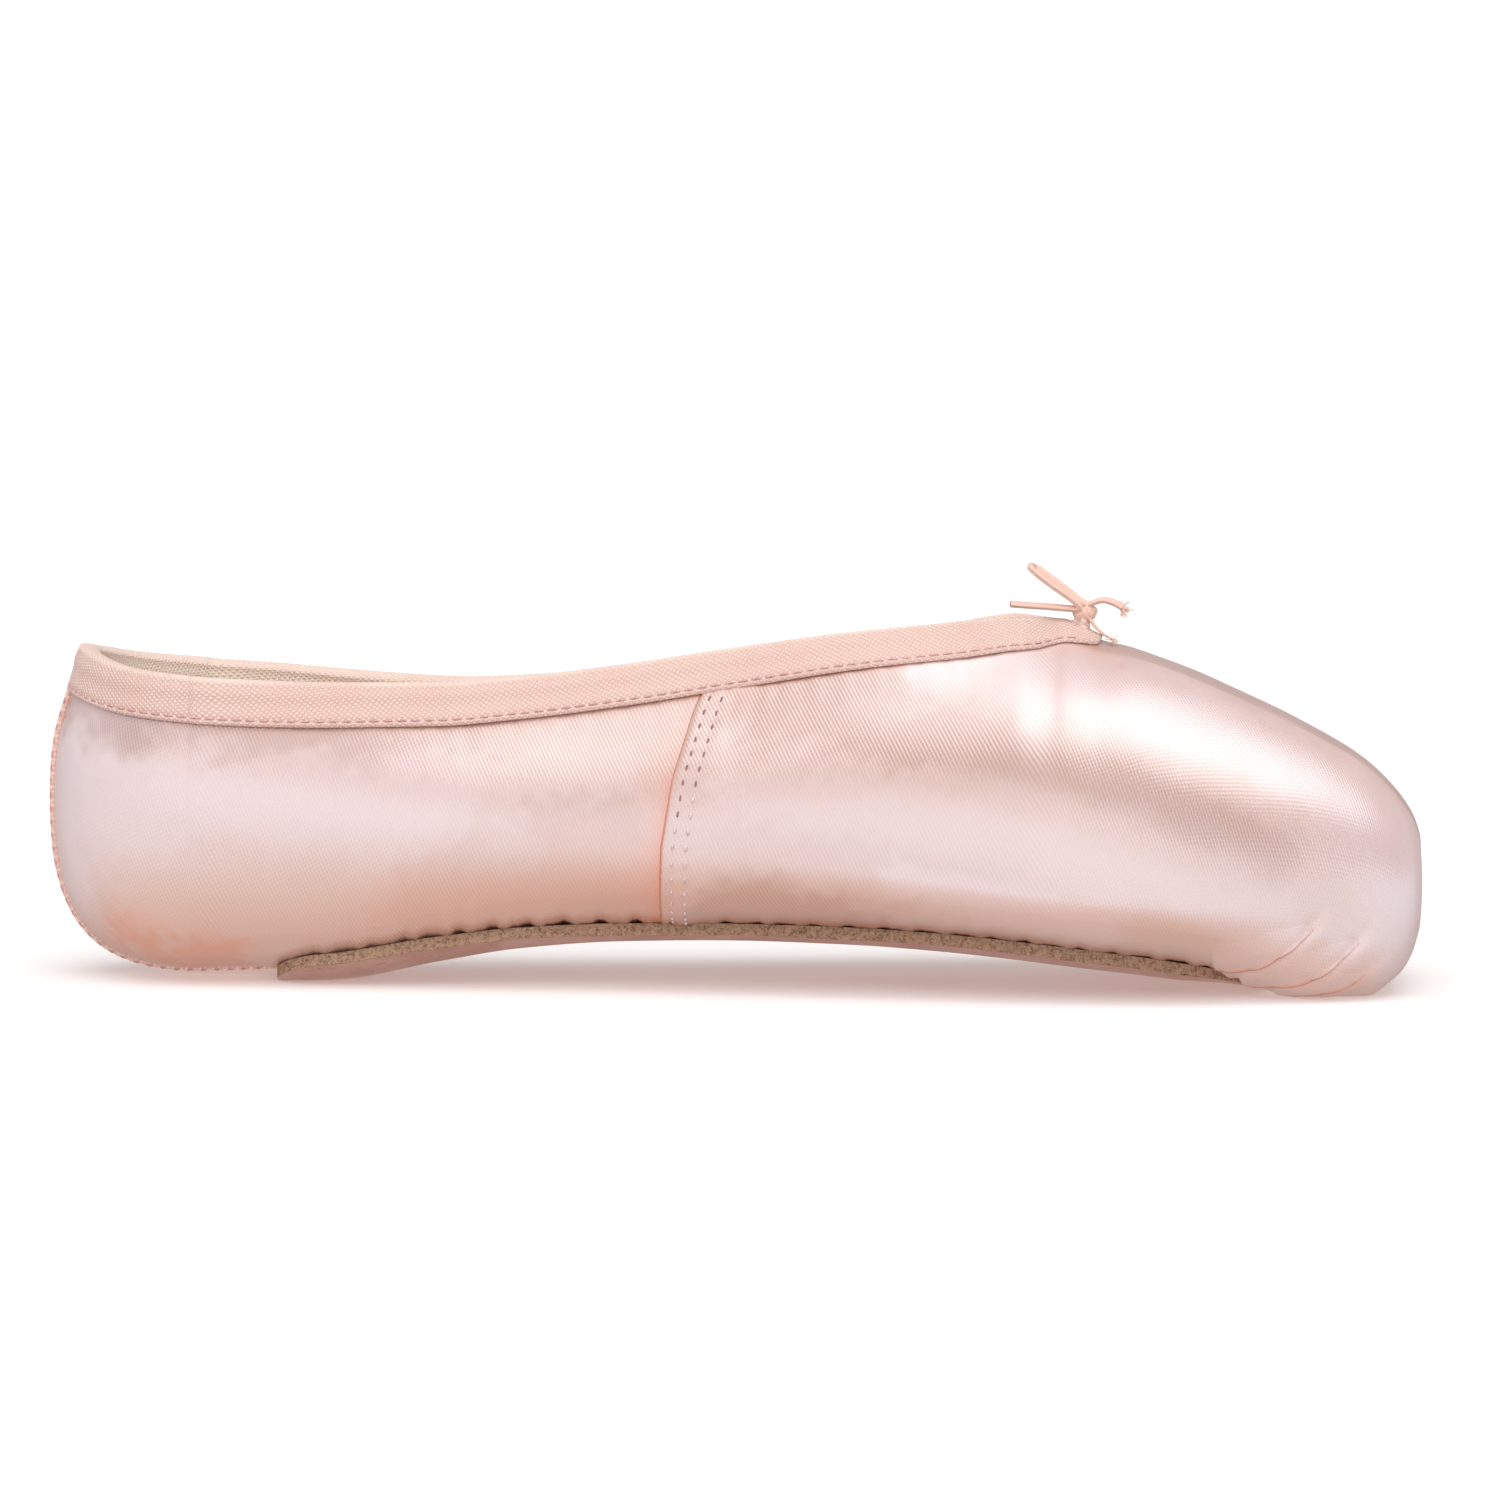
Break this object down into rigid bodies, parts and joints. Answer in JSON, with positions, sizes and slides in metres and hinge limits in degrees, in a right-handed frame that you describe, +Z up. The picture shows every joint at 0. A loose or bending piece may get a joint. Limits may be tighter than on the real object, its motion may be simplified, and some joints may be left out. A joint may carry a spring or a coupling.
{
  "type": "pointe shoe",
  "caption": "Satin pointe shoe with a stiff flat-ended toe box, tape-bound collar, tied drawstring at the throat and a narrow arched leather sole.",
  "frame": {"origin": "on the floor plane, under the middle of the shoe's length and width", "axes": "+X towards the toe, +Y across the shoe towards its far side, +Z up from the floor"},
  "size_m": [0.2403, 0.0794, 0.0736],
  "materials": {
    "satin": "pale pink satin with a strong sheen",
    "sole_leather": "smooth underside, rough cut edge",
    "insole_cloth": "plain cotton, matte",
    "cotton_tape": "woven cotton tape, matte",
    "drawstring_cotton": "flat cotton cord, matte"
  },
  "bodies": {
    "root": {"upper": "satin", "outsole": "sole_leather", "insole": "insole_cloth", "binding": "cotton_tape", "drawstring_knot": "drawstring_cotton", "drawstring_loop": "drawstring_cotton", "drawstring_end_front": "drawstring_cotton", "drawstring_end_back": "drawstring_cotton"}
  },
  "joints": []
}
